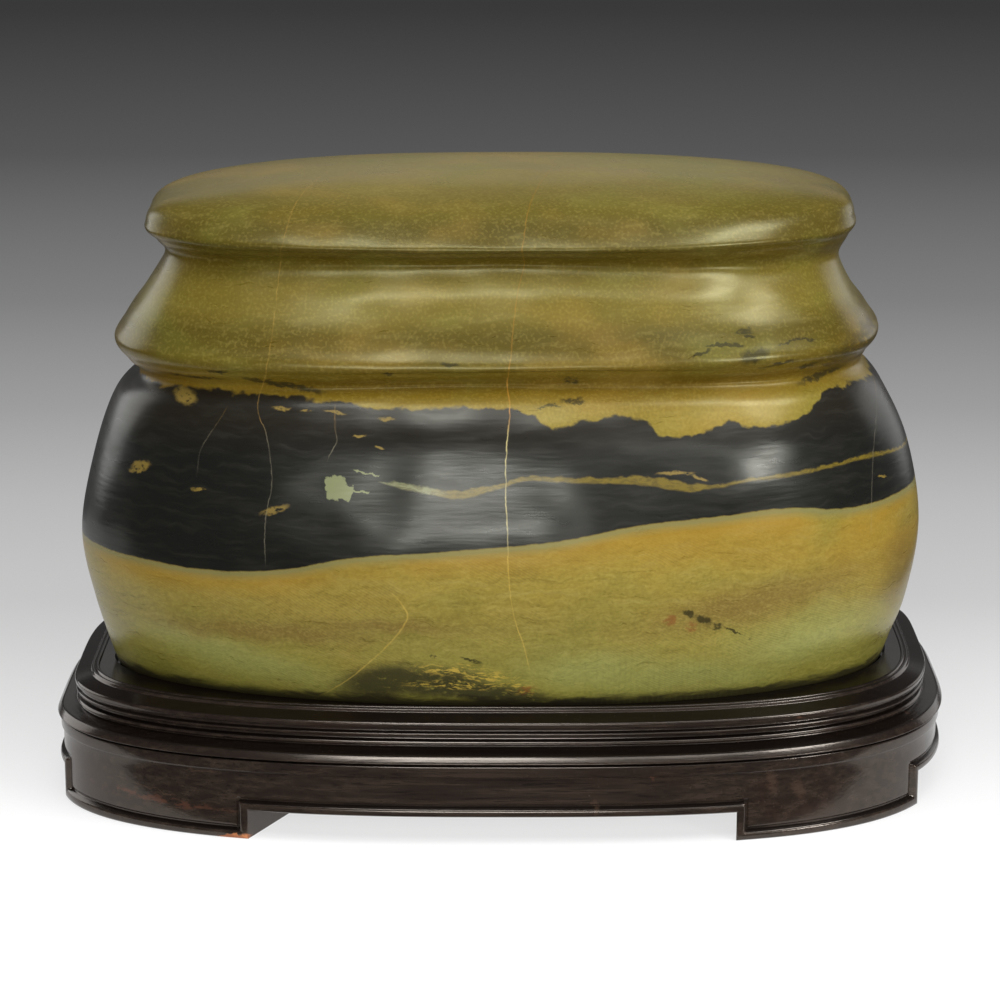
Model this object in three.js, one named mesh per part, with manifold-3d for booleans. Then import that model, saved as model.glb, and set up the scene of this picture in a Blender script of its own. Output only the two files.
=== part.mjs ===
// A polished, banded viewing stone resting in its carved and moulded hardwood stand.
// Millimetres, +Z up, the front towards -Y; the origin is the middle of the stand's foot plane.
import * as THREE from "three";
import { mergeVertices } from "three/addons/utils/BufferGeometryUtils.js";
import Module from "manifold-3d";

const wasm = await Module();
wasm.setup();

// Outline of the stand at its widest moulding. leftY and rightY say how far back each end reaches out most.
// The corners get squarer as their exponent grows; 2 is an ellipse.
const STAND_PLAN = {
  left: 232,
  right: 232,
  front: 120,
  back: 120,
  leftY: -20,
  rightY: 20,
  corners: { frontLeft: 2.55, frontRight: 2.9, backLeft: 4.4, backRight: 5 },
};
const STAND_SIDES = 72;

// Moulding of the stand from the seat outwards and down: distance from the widest outline, height.
const MOULDING = [
  [-22.2, 65.5],
  [-21.2, 66.6],
  [-20.0, 65.4],
  [-18.9, 66.0],
  [-17.6, 64.2],
  [-9.9, 61.7],
  [-9.3, 60.9],
  [-9.5, 58.9],
  [-11.8, 58.0],
  [-11.8, 56.6],
  [-9.9, 55.6],
  [-10.4, 54.2],
  [-13.2, 53.4],
  [-13.2, 51.9],
  [-10.3, 51.4],
  [-9.8, 50.2],
  [-11.4, 48.9],
  [-8.6, 47.9],
  [-4.6, 47.3],
  [-1.4, 46.7],
  [0, 45.2],
  [-1.2, 43.6],
  [-3.6, 42.6],
  [-1.6, 41.4],
  [-1.6, 35.8],
  [-2.7, 35.2],
  [-2.7, 22.2],
  [-3.8, 21.4],
  [-3.8, 19.9],
  [-1.2, 19.3],
  [-0.8, 17.6],
  [-0.8, 1.0],
  [-1.6, 0],
];
const SEAT_RIM = 65.5;
const SEAT_FLOOR = 62;
const SEAT_GAP = 1;
const REST_GAP = 0.3;

// The feet are stretches of the lower ring between plan angles, in degrees from the right end towards the
// back. A lean turns the inner edge of a cut end on round the ring, where the end isn't sawn square to the
// outline. The gaps at the two short sides are higher than those at the front and back.
const FOOT_HEIGHT = 15;
const FOOT_DEPTH = 44;
const LONG_GAP = 15;
const SIDE_GAP = 18;
const FEET = [
  { from: 32, to: 62, fromLean: 0, toLean: 0, fromGap: SIDE_GAP, toGap: LONG_GAP },
  { from: 120, to: 152, fromLean: 0, toLean: 0, fromGap: LONG_GAP, toGap: SIDE_GAP },
  { from: 196.8, to: 238.7, fromLean: 0, toLean: 3.4, fromGap: SIDE_GAP, toGap: LONG_GAP },
  { from: 297.9, to: 328, fromLean: 4.4, toLean: 0, fromGap: LONG_GAP, toGap: SIDE_GAP },
];
// A raised border runs round the edge of each foot and over the gaps, so the face of a foot lies level with
// the apron.
const BORDER = 4.6;
const APRON_FACE = -2.7;
const BORDER_TOP = 24;
const CUT_PAST = 5;

// Rows of the stone from the crown down. Each row has its reach from the upright axis and its height,
// both to the left, right, front and back.
const STONE_ROWS = [
  { reach: [0, 0, 0, 0], height: [320, 320, 320, 320] },
  { reach: [95, 95, 38, 50], height: [318, 318, 317, 319] },
  { reach: [167, 167, 66, 86], height: [310, 309, 310, 313.5] },
  { reach: [180.4, 180, 79.5, 98], height: [298.2, 295.5, 298.5, 299] },
  { reach: [174.5, 176.8, 77, 95], height: [290, 287, 292.5, 290] },
  { reach: [171, 172.3, 72, 91], height: [281.8, 275, 284, 280] },
  { reach: [182.5, 179.5, 82, 98], height: [262, 258, 269, 262] },
  { reach: [196.3, 193.5, 93, 106], height: [241.5, 239.5, 244, 241] },
  { reach: [190, 187.5, 91, 103], height: [229, 228, 236, 230] },
  { reach: [184.5, 185.5, 87.5, 99], height: [221.6, 221, 229, 222] },
  { reach: [197.5, 196.5, 96, 105], height: [209, 208, 220.5, 212] },
  { reach: [209.2, 209.5, 106, 111], height: [177, 180, 198, 182] },
  { reach: [217, 216.5, 113, 115], height: [139, 139, 150, 140] },
  { reach: [212, 211.5, 109, 111], height: [103, 99, 104, 101] },
  { reach: [205.5, 204, 99.5, 102], height: [77, 76, 76, 76] },
  { reach: [202, 200.5, 94, 96], height: Array(4).fill(SEAT_RIM) },
  { reach: [200, 198.5, 92, 94], height: Array(4).fill(SEAT_FLOOR + REST_GAP) },
];
const STONE_LEFT_Y = -12;
const STONE_RIGHT_Y = 8;
const CAP_CORNERS = { frontLeft: 3.2, frontRight: 2.3, backLeft: 3, backRight: 3.3 };
const BASE_CORNERS = { frontLeft: 2, frontRight: 2.2, backLeft: 2.4, backRight: 2.4 };
const STONE_SIDES = 60;
const RINGS_PER_ROW = 2;
// Slow swells worn into the flanks: how many go round, how far they lean with height, how deep they are.
const SWELLS = [
  { count: 5, lean: 0.021, turn: 0.6, depth: 0.7 },
  { count: 8, lean: -0.033, turn: 2.1, depth: 0.5 },
];
const SWELL_FOOT = 75;
const SWELL_FULL = 120;

// Point of a rounded plan at an angle.
function planPoint(plan, angle) {
  const across = Math.cos(angle);
  const along = Math.sin(angle);
  const onRight = across >= 0;
  const onBack = along >= 0;
  const corner = plan.corners[(onBack ? "back" : "front") + (onRight ? "Right" : "Left")];
  const size = (Math.abs(across) ** corner + Math.abs(along) ** corner) ** (-1 / corner);
  const endY = onRight ? plan.rightY : plan.leftY;
  const reachY = onBack ? plan.back - endY : plan.front + endY;
  const reachX = onRight ? plan.right : plan.left;
  return new THREE.Vector2(across * size * reachX, endY + along * size * reachY);
}

// Closed curve of a plan, which gives evenly spaced angles and outward normals.
class PlanCurve extends THREE.Curve {
  constructor(plan) {
    super();
    this.plan = plan;
    this.arcLengthDivisions = 1440;
  }
  getPoint(turn) {
    return planPoint(this.plan, turn * 2 * Math.PI);
  }
  evenTurns(count) {
    return Array.from({ length: count }, (_, i) => this.getUtoTmapping(i / count));
  }
  offsetPoint(turn, offset) {
    const step = 1e-4;
    const tangent = this.getPoint(turn + step).sub(this.getPoint(turn - step)).normalize();
    const normal = new THREE.Vector2(tangent.y, -tangent.x);
    return this.getPoint(turn).addScaledVector(normal, offset);
  }
}

const standCurve = new PlanCurve(STAND_PLAN);
const standTurns = standCurve.evenTurns(STAND_SIDES);

// Quads between two rings of the same length, numbered from their first vertices; faces look outwards
// when the upper ring comes first and both run anticlockwise seen from above.
function bandFaces(upper, lower, count) {
  const faces = [];
  for (let i = 0; i < count; i++) {
    const next = (i + 1) % count;
    faces.push(upper + i, lower + i, lower + next);
    faces.push(upper + i, lower + next, upper + next);
  }
  return faces;
}

// Closed solid from rings listed from the middle of its top to the middle of its underside.
function ringSolid(topMiddle, rings, bottomMiddle) {
  const count = rings[0].length;
  const points = [topMiddle, ...rings.flat(), bottomMiddle];
  const last = points.length - 1;
  const lastRing = last - count;
  const faces = [];
  for (let i = 0; i < count; i++) {
    const next = (i + 1) % count;
    faces.push(0, 1 + i, 1 + next);
    faces.push(last, lastRing + next, lastRing + i);
  }
  for (let r = 0; r + 1 < rings.length; r++) {
    faces.push(...bandFaces(1 + r * count, 1 + (r + 1) * count, count));
  }
  const geometry = new THREE.BufferGeometry().setFromPoints(points);
  geometry.setIndex(faces);
  return geometry;
}

// Curves of reach and height down the stone's left, right, front and back.
const stoneSides = [0, 1, 2, 3].map((side) => {
  const line = STONE_ROWS.map((row) => new THREE.Vector2(row.reach[side], row.height[side]));
  return new THREE.SplineCurve(line);
});

// Share of the swells at a height: none at the seat, all of it on the flanks.
function swellShare(height) {
  return THREE.MathUtils.smoothstep(height, SWELL_FOOT, SWELL_FULL);
}

// Point of the stone's surface at a plan angle and a place between crown (0) and base (1).
function stonePoint(place, angle) {
  const [left, right, front, back] = stoneSides.map((side) => side.getPoint(place));
  const ends = Math.cos(angle) >= 0 ? right : left;
  const faces = Math.sin(angle) >= 0 ? back : front;
  const endShare = Math.cos(angle) ** 2;
  const height = ends.y * endShare + faces.y * (1 - endShare);
  const baseShare = THREE.MathUtils.smoothstep(place, 0.5, 0.95);
  const corners = {};
  for (const name of Object.keys(CAP_CORNERS)) {
    corners[name] = THREE.MathUtils.lerp(CAP_CORNERS[name], BASE_CORNERS[name], baseShare);
  }
  const spread = Math.min(1, front.x / STONE_ROWS[2].reach[2]);
  const plan = {
    left: left.x,
    right: right.x,
    front: front.x,
    back: back.x,
    leftY: STONE_LEFT_Y * spread,
    rightY: STONE_RIGHT_Y * spread,
    corners,
  };
  const flat = planPoint(plan, angle);
  const swell = SWELLS.reduce(
    (sum, wave) => sum + wave.depth * Math.sin(wave.count * angle + wave.lean * height + wave.turn),
    0,
  );
  flat.addScaledVector(flat.clone().normalize(), swell * swellShare(height) * spread);
  return new THREE.Vector3(flat.x, flat.y, height);
}

// Rings of the stone, from just below the crown to the edge of its flat underside.
function stoneGeometry() {
  const turns = standCurve.evenTurns(STONE_SIDES);
  const steps = (STONE_ROWS.length - 1) * RINGS_PER_ROW;
  const rings = [];
  for (let step = 1; step <= steps; step++) {
    rings.push(turns.map((turn) => stonePoint(step / steps, turn * 2 * Math.PI)));
  }
  const crown = stonePoint(0, 0);
  const base = STONE_ROWS[STONE_ROWS.length - 1].height[0];
  return ringSolid(crown, rings, new THREE.Vector3(0, 0, base));
}

// Ring of the seat's wall, cut to follow the stone with a little room.
function seatRing(height) {
  const place = (STONE_ROWS.length - 2) / (STONE_ROWS.length - 1);
  return standTurns.map((turn) => {
    const point = stonePoint(place, turn * 2 * Math.PI);
    const away = new THREE.Vector2(point.x, point.y).setLength(SEAT_GAP);
    return new THREE.Vector3(point.x + away.x, point.y + away.y, height);
  });
}

// Height of the gap between the feet at a turn; along a foot it passes from one gap's height to the next.
function gapHeight(turn) {
  const angle = THREE.MathUtils.euclideanModulo(turn * 360, 360);
  const foot = FEET.find((each) => angle >= each.from && angle <= each.to);
  if (foot) {
    const share = THREE.MathUtils.smoothstep(angle, foot.from, foot.to);
    return THREE.MathUtils.lerp(foot.fromGap, foot.toGap, share);
  }
  const before = FEET.findLast((each) => each.to < angle) ?? FEET[FEET.length - 1];
  return before.toGap;
}

// Height of a moulding row at a turn: the rows of the border rise with the gap below them.
function rowHeight(height, turn) {
  const inBorder = height > LONG_GAP && height < BORDER_TOP;
  return inBorder ? height + gapHeight(turn) - LONG_GAP : height;
}

function standRing(offset, height) {
  return standTurns.map((turn) => {
    const point = standCurve.offsetPoint(turn, offset);
    return new THREE.Vector3(point.x, point.y, rowHeight(height, turn));
  });
}

// The whole stand before its cut-outs: seat, mouldings, apron and a foot ring all the way round.
function standBlank() {
  const rings = [
    seatRing(SEAT_FLOOR),
    seatRing(SEAT_RIM),
    ...MOULDING.map(([offset, height]) => standRing(offset, height)),
    standRing(-FOOT_DEPTH, 0),
    standRing(-FOOT_DEPTH, FOOT_HEIGHT),
  ];
  return ringSolid(new THREE.Vector3(0, 0, SEAT_FLOOR), rings, new THREE.Vector3(0, 0, FOOT_HEIGHT));
}

// Block that follows the stand's outline between two turns, two offsets and two heights.
function ringBlock({ from, to, fromLean, toLean, inner, outer, low, high }) {
  const wraps = (turn) => (turn < from ? turn + 1 : turn);
  const first = from + Math.max(0, fromLean);
  const last = to + Math.min(0, toLean);
  const between = standTurns.map(wraps).filter((turn) => turn > first && turn < last);
  const ends = [
    [from, from + fromLean],
    ...between.sort((a, b) => a - b).map((turn) => [turn, turn]),
    [to, to + toLean],
  ];
  const place = (turn, offset, height) => {
    const point = standCurve.offsetPoint(turn, offset);
    return new THREE.Vector3(point.x, point.y, height);
  };
  const sections = ends.map(([outerTurn, innerTurn]) => [
    place(outerTurn, outer, low),
    place(outerTurn, outer, high),
    place(innerTurn, inner, high),
    place(innerTurn, inner, low),
  ]);
  const corners = 4;
  const faces = [0, 1, 2, 0, 2, 3];
  for (let s = 0; s + 1 < sections.length; s++) {
    faces.push(...bandFaces(s * corners, (s + 1) * corners, corners));
  }
  const end = (sections.length - 1) * corners;
  faces.push(end, end + 2, end + 1, end, end + 3, end + 2);
  const geometry = new THREE.BufferGeometry().setFromPoints(sections.flat());
  geometry.setIndex(faces);
  return geometry;
}

// Turn that lies a length along the outline from another turn.
function turnAlong(turn, length) {
  const step = 1e-4;
  const perTurn = standCurve.getPoint(turn + step).distanceTo(standCurve.getPoint(turn)) / step;
  return turn + length / perTurn;
}

function toSolid(geometry) {
  const merged = mergeVertices(geometry, 1e-3);
  return new wasm.Manifold(
    new wasm.Mesh({
      numProp: 3,
      vertProperties: merged.attributes.position.array,
      triVerts: new Uint32Array(merged.index.array),
    }),
  );
}

function toGeometry(solid) {
  const mesh = solid.getMesh();
  const geometry = new THREE.BufferGeometry();
  geometry.setAttribute("position", new THREE.BufferAttribute(mesh.vertProperties, 3));
  geometry.setIndex(new THREE.BufferAttribute(mesh.triVerts, 1));
  return geometry;
}

// Cutter for the gap from the end of one foot to the start of the next.
function gapCutter(foot, nextFoot) {
  const from = foot.to / 360;
  const to = nextFoot.from / 360;
  return ringBlock({
    from,
    to: to < from ? to + 1 : to,
    fromLean: foot.toLean / 360,
    toLean: nextFoot.fromLean / 360,
    inner: -FOOT_DEPTH - CUT_PAST,
    outer: CUT_PAST,
    low: -CUT_PAST,
    high: foot.toGap,
  });
}

// Cutter that sinks the face of a foot to the apron inside its border.
function faceCutter(foot) {
  return ringBlock({
    from: turnAlong(foot.from / 360, BORDER),
    to: turnAlong(foot.to / 360, -BORDER),
    fromLean: 0,
    toLean: 0,
    inner: APRON_FACE,
    outer: CUT_PAST,
    low: BORDER,
    high: BORDER_TOP,
  });
}

// The stand with the gaps between its feet cut away and the face of each foot sunk inside its border.
function standGeometry() {
  let solid = toSolid(standBlank());
  FEET.forEach((foot, i) => {
    const nextFoot = FEET[(i + 1) % FEET.length];
    solid = solid.subtract(toSolid(gapCutter(foot, nextFoot)));
    solid = solid.subtract(toSolid(faceCutter(foot)));
  });
  return toGeometry(solid);
}

function polishedStone() {
  return new THREE.MeshStandardMaterial({ color: 0x6f6233, roughness: 0.32, metalness: 0 });
}

function darkLacquer() {
  return new THREE.MeshStandardMaterial({ color: 0x2c211c, roughness: 0.3, metalness: 0 });
}

function subPart(name, geometry, material) {
  const mesh = new THREE.Mesh(geometry, material);
  mesh.name = name;
  return mesh;
}

const object = new THREE.Group();
object.add(subPart("stone", stoneGeometry(), polishedStone()));
object.add(subPart("stand", standGeometry(), darkLacquer()));

export default object;
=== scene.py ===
"""Looks of the viewing stone and its carved stand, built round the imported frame.

Metres, +Z up, front towards -Y. Sizes and places of the stone and stand are listed in millimetres.
"""
import math

import bpy
import numpy as np
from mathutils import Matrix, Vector, noise


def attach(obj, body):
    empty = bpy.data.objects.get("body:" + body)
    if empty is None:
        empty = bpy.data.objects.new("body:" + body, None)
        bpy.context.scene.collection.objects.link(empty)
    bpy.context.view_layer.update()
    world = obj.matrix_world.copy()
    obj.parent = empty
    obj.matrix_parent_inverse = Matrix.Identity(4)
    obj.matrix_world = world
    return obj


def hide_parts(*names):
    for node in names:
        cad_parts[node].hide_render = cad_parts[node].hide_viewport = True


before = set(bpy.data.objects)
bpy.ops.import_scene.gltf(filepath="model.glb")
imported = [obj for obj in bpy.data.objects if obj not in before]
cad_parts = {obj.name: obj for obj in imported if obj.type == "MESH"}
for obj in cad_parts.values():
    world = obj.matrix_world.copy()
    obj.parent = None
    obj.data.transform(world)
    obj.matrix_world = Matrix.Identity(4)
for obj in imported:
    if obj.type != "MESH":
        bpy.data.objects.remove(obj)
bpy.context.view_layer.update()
MM = 0.001
# Lengths below this count as nothing.
TINY = 1e-6

# Outline of the stand at its widest moulding.
STAND_PLAN = {
    "left": 232.0, "right": 232.0, "front": 120.0, "back": 120.0, "left_y": -20.0, "right_y": 20.0,
    "corners": {"front_left": 2.55, "front_right": 2.9, "back_left": 4.4, "back_right": 5.0},
}
# Moulding from the seat outwards and down to the apron: distance from the widest outline, height.
MOULDING = [
    (-22.4, 65.5), (-22.1, 66.3), (-21.2, 66.7), (-20.4, 66.2), (-20.0, 65.3), (-19.6, 65.9), (-18.9, 66.1),
    (-18.2, 65.6), (-17.6, 64.2), (-9.9, 61.7), (-9.3, 60.9), (-9.5, 58.9), (-11.8, 58.2), (-11.8, 56.6),
    (-10.2, 55.9), (-9.9, 55.4), (-10.2, 54.4), (-13.2, 53.6), (-13.2, 52.1), (-10.6, 51.6), (-9.8, 50.4),
    (-10.5, 49.4), (-11.6, 49.0), (-11.2, 48.4), (-8.6, 47.6), (-5.8, 47.2), (-3.7, 47.1), (-2.9, 46.95),
    (-2.2, 46.45), (-1.4, 45.4), (-0.6, 44.25), (0.0, 43.3), (-0.3, 42.9), (-1.2, 42.7), (-3.7, 42.6),
    (-3.7, 41.9), (-1.7, 41.5), (-1.5, 41.0), (-1.6, 35.9), (-2.7, 35.3), (-2.7, 30.0),
]
# Corners of the moulding are rounded over this length, or over this share of a shorter side.
EASE = 0.3
EASE_SHARE = 0.4
# Seat: heights of its rim and floor, gap round the stone and under it, rounding of its upper edge.
SEAT_RIM = 65.5
SEAT_FLOOR = 62.0
SEAT_GAP = 1.0
REST_GAP = 0.3
SEAT_EASE = 0.4
# How far the feet reach in, height of the gaps between them at front and back and at the ends.
FOOT_DEPTH = 44.0
LONG_GAP = 15.0
SIDE_GAP = 18.0
GAP_STEPS = 9
# Feet: degrees round the outline of their two ends, lean of their inner corners, gaps beside them.
FEET = [
    {"ends": (32.0, 62.0), "leans": (0.0, 0.0), "gaps": (SIDE_GAP, LONG_GAP)},
    {"ends": (120.0, 152.0), "leans": (0.0, 0.0), "gaps": (LONG_GAP, SIDE_GAP)},
    {"ends": (196.8, 238.7), "leans": (0.0, 3.4), "gaps": (SIDE_GAP, LONG_GAP)},
    {"ends": (297.9, 328.0), "leans": (4.4, 0.0), "gaps": (LONG_GAP, SIDE_GAP)},
]
# Carved border of apron and feet: distance in from their lower edge, offset of the surface.
BORDER_DEPTHS = [0.0, 0.3, 0.8, 1.6, 2.4, 3.2, 3.8, 4.3, 4.7, 5.1, 5.7, 6.2, 6.8]
BORDER_OFFSETS = [-1.7, -1.2, -0.9, -0.7, -0.65, -0.75, -1.0, -1.5, -3.1, -3.6, -3.6, -2.9, -2.7]
WALL_HEIGHTS = [
    29.0, 22.6, 21.8, 21.2, 20.7, 20.1, 19.7, 19.3, 18.8, 18.2, 17.4, 16.6, 15.8, 15.3, 15.0,
    14.2, 12.6, 10.8, 9.0, 7.6, 6.8, 6.2, 5.7, 5.1, 4.7, 4.3, 3.8, 3.2, 2.4, 1.6, 0.8, 0.3, 0.0,
]
STAND_COLUMNS = 470
# An even column this share of the spacing or less from a border's column is left out.
CLEAR_SHARE = 0.35
# Edges that turn by more than these degrees are shaded as sharp.
STAND_SHARP = 38
STONE_SHARP = 60

# Rows of the stone from the crown down: reach to the left, right, front and back, then the heights there.
STONE_ROWS = np.array([
    (0, 0, 0, 0, 320, 320, 320, 320),
    (95, 95, 38, 50, 318, 318, 317, 319),
    (167, 167, 66, 86, 310, 309, 310, 313.5),
    (180.4, 180, 80.2, 98, 298.2, 295.5, 295.3, 299),
    (174.5, 176.8, 77.4, 95, 290, 287, 290.8, 290),
    (171, 172.3, 72, 91, 281.8, 275, 284, 280),
    (182.5, 179.5, 82, 98, 262, 258, 269, 262),
    (196.3, 193.5, 94, 106, 241.5, 239.5, 240.8, 241),
    (190, 187.5, 91.6, 103, 229, 228, 234.8, 230),
    (184.5, 185.5, 87.5, 99, 221.6, 221, 228.0, 222),
    (197.5, 196.5, 96, 105, 209, 208, 219.8, 212),
    (209.2, 209.5, 106, 111, 177, 180, 198, 182),
    (217, 216.5, 113, 115, 139, 139, 150, 140),
    (212, 211.5, 109, 111, 103, 99, 104, 101),
    (205.5, 204, 99.5, 102, 77, 76, 76, 76),
    (202, 200.5, 94, 96, *[SEAT_RIM] * 4),
    (200, 198.5, 92, 94, *[SEAT_FLOOR + REST_GAP] * 4),
])
# Where the stone's ends point, and its plan's corners, which change between these places down the stone.
STONE_LEFT_Y = -12.0
STONE_RIGHT_Y = 8.0
CAP_CORNERS = {"front_left": 3.2, "front_right": 2.3, "back_left": 3.0, "back_right": 3.3}
BASE_CORNERS = {"front_left": 2.0, "front_right": 2.2, "back_left": 2.4, "back_right": 2.4}
CORNER_CHANGE = (0.5, 0.95)
# Swells of the flank: how many round it, lean with height, shift, depth; heights where they set in.
SWELLS = [(5, 0.021, 0.6, 0.7), (8, -0.033, 2.1, 0.5)]
SWELL_HEIGHTS = (75.0, 120.0)
# The ledge's flank is hollowed a little below its shoulder: between which rows, depth.
FLANK_ROWS = (6.35, 7.1)
FLANK_HOLLOW = 0.8
# Waves of wear: turns of the noise per millimetre along and up, shift of the noise, depth.
WEAR_WAVES = [
    {"along": 0.017, "up": 0.024, "shift": (0.0, 0.0, 3.1), "depth": 1.9},
    {"along": 0.045, "up": 0.06, "shift": (7.0, 0.0, 0.0), "depth": 0.55},
]
# Wear is less by a share on the crown and fades out where the surface turns to the ends.
CROWN_HEIGHTS = (296.0, 312.0)
CROWN_CALM = 0.6
WEAR_FACING = (0.2, 0.7)
CROWN_LIFT = 0.05
STONE_COLUMNS = 384
STONE_RINGS_PER_ROW = 14


def smoothstep(value, low, high):
    t = np.clip((value - low) / (high - low), 0.0, 1.0)
    return t * t * (3.0 - 2.0 * t)


def plan_points(plan, angle):
    """Points of a rounded plan at angles; its sizes may be arrays of the angles' shape."""
    across, along = np.cos(angle), np.sin(angle)
    right, back = across >= 0, along >= 0
    c = plan["corners"]
    corner = np.where(back, np.where(right, c["back_right"], c["back_left"]),
                      np.where(right, c["front_right"], c["front_left"]))
    size = (np.abs(across) ** corner + np.abs(along) ** corner) ** (-1.0 / corner)
    end_y = np.where(right, plan["right_y"], plan["left_y"])
    reach_y = np.where(back, plan["back"] - end_y, plan["front"] + end_y)
    reach_x = np.where(right, plan["right"], plan["left"])
    return np.stack([across * size * reach_x, end_y + along * size * reach_y], -1)


class Outline:
    """The stand's outline with its arc length, so that columns can be spaced along it."""

    FINE = 7200

    def __init__(self, plan):
        self.plan = plan
        self.turns = np.linspace(0.0, 1.0, self.FINE + 1)
        points = self.at(self.turns)
        steps = np.linalg.norm(np.diff(points, axis=0), axis=1)
        self.lengths = np.concatenate([[0.0], np.cumsum(steps)])
        self.total = self.lengths[-1]

    def at(self, turns):
        return plan_points(self.plan, np.asarray(turns) * 2.0 * math.pi)

    def turn(self, length):
        length = np.asarray(length, float)
        return np.interp(length % self.total, self.lengths, self.turns) + np.floor(length / self.total)

    def length(self, turn):
        return np.interp(turn % 1.0, self.turns, self.lengths) + math.floor(turn) * self.total

    def offset(self, turns, distance):
        step = 1e-4
        tangent = self.at(np.asarray(turns) + step) - self.at(np.asarray(turns) - step)
        tangent /= np.linalg.norm(tangent, axis=-1, keepdims=True)
        normal = np.stack([tangent[..., 1], -tangent[..., 0]], -1)
        return self.at(turns) + normal * np.asarray(distance)[..., None]


outline = Outline(STAND_PLAN)


def spline(points, place):
    """Uniform Catmull-Rom curve through the rows, at places from 0 to 1."""
    last = len(points) - 1
    along = place * last
    i = np.minimum(np.floor(along).astype(int), last)
    w = (along - i)[:, None]
    p0, p1 = points[np.maximum(i - 1, 0)], points[i]
    p2, p3 = points[np.minimum(i + 1, last)], points[np.minimum(i + 2, last)]
    v0, v1 = (p2 - p0) * 0.5, (p3 - p1) * 0.5
    return (2 * p1 - 2 * p2 + v0 + v1) * w ** 3 + (-3 * p1 + 3 * p2 - 2 * v0 - v1) * w ** 2 + v0 * w + p1


def stone_points(place, angle):
    """Points of the stone in millimetres, one row per place and one column per angle."""
    rows = spline(STONE_ROWS, place)[:, None, :]
    angle = np.asarray(angle)[None, :]
    left, right, front, back, left_z, right_z, front_z, back_z = [rows[..., k] for k in range(8)]
    end_share = np.cos(angle) ** 2
    ends_z = np.where(np.cos(angle) >= 0, right_z, left_z)
    faces_z = np.where(np.sin(angle) >= 0, back_z, front_z)
    height = ends_z * end_share + faces_z * (1.0 - end_share)
    share = smoothstep(place, *CORNER_CHANGE)[:, None]
    corners = {k: CAP_CORNERS[k] + (BASE_CORNERS[k] - CAP_CORNERS[k]) * share for k in CAP_CORNERS}
    spread = np.minimum(1.0, front / STONE_ROWS[2, 2])
    flat = plan_points({
        "left": left, "right": right, "front": front, "back": back,
        "left_y": STONE_LEFT_Y * spread, "right_y": STONE_RIGHT_Y * spread, "corners": corners,
    }, angle)
    swell = sum(depth * np.sin(count * angle + lean * height + turn) for count, lean, turn, depth in SWELLS)
    swell = swell * smoothstep(height, *SWELL_HEIGHTS) * spread
    away = flat / np.maximum(np.linalg.norm(flat, axis=-1, keepdims=True), TINY)
    flat = flat + away * swell[..., None]
    return np.concatenate([flat, height[..., None]], -1)


def mesh_piece(name, points, faces, sharp_degrees):
    """Object from points in millimetres and faces, smooth shaded."""
    mesh = bpy.data.meshes.new(name)
    mesh.from_pydata((np.asarray(points) * MM).tolist(), [], faces)
    mesh.validate()
    mesh.polygons.foreach_set("use_smooth", [True] * len(mesh.polygons))
    mesh.set_sharp_from_angle(angle=math.radians(sharp_degrees))
    piece = bpy.data.objects.new(name, mesh)
    bpy.context.scene.collection.objects.link(piece)
    return piece


def band(upper, lower):
    """Quads between two rings of vertex numbers."""
    count = len(upper)
    return [(upper[i], lower[i], lower[(i + 1) % count], upper[(i + 1) % count]) for i in range(count)]


def fan(middle, ring):
    """Triangles from a middle to a ring of vertex numbers."""
    return [(middle, ring[i], ring[(i + 1) % len(ring)]) for i in range(len(ring))]


def hand_wear(points):
    """Push or pull of the flank in millimetres: slow waves left by water and hand polishing."""
    out = np.zeros(len(points))
    for wave in WEAR_WAVES:
        places = points * (wave["along"], wave["along"], wave["up"]) + wave["shift"]
        out += [wave["depth"] * noise.noise(Vector(place)) for place in places]
    return out


def make_stone():
    angles = outline.turn(np.arange(STONE_COLUMNS) / STONE_COLUMNS * outline.total) * 2.0 * math.pi
    steps = (len(STONE_ROWS) - 1) * STONE_RINGS_PER_ROW
    place = np.arange(1, steps + 1) / steps
    grid = stone_points(place, angles)
    wear = hand_wear(grid.reshape(-1, 3)).reshape(grid.shape[:2])
    wear *= smoothstep(grid[..., 2], *SWELL_HEIGHTS)
    wear *= 1.0 - smoothstep(grid[..., 2], *CROWN_HEIGHTS) * CROWN_CALM
    across = np.roll(grid, -1, 1) - np.roll(grid, 1, 1)
    down = np.gradient(grid, axis=0)
    normal = np.cross(down, across)
    normal /= np.maximum(np.linalg.norm(normal, axis=-1, keepdims=True), TINY)
    wear *= smoothstep(np.abs(normal[..., 1]), *WEAR_FACING)
    rows = np.clip(place * (len(STONE_ROWS) - 1), *FLANK_ROWS) - FLANK_ROWS[0]
    wear -= FLANK_HOLLOW * np.sin(math.pi * rows[:, None] / (FLANK_ROWS[1] - FLANK_ROWS[0])) ** 2
    grid = grid + normal * wear[..., None]
    crown = np.array([[0.0, 0.0, grid[0, :, 2].max() + CROWN_LIFT]])
    middle = np.array([[0.0, 0.0, SEAT_FLOOR + REST_GAP]])
    points = np.concatenate([crown, grid.reshape(-1, 3), middle])
    rings = [list(range(1 + r * STONE_COLUMNS, 1 + (r + 1) * STONE_COLUMNS)) for r in range(steps)]
    faces = fan(0, rings[0])
    for upper, lower in zip(rings, rings[1:]):
        faces += band(upper, lower)
    faces += [(below, after, before) for below, before, after in fan(len(points) - 1, rings[-1])]
    return mesh_piece("viewing_stone", points, faces, STONE_SHARP)


def eased(profile):
    """The profile with each corner rounded over a short length."""
    profile = [np.array(corner) for corner in profile]
    out = [profile[0]]
    for before, here, after in zip(profile, profile[1:], profile[2:]):
        back_way, on_way = before - here, after - here
        back_cut = min(EASE, EASE_SHARE * np.linalg.norm(back_way)) / np.linalg.norm(back_way)
        on_cut = min(EASE, EASE_SHARE * np.linalg.norm(on_way)) / np.linalg.norm(on_way)
        start, end = here + back_way * back_cut, here + on_way * on_cut
        out += [start, 0.25 * start + 0.5 * here + 0.25 * end, end]
    return out + [profile[-1]]


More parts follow.
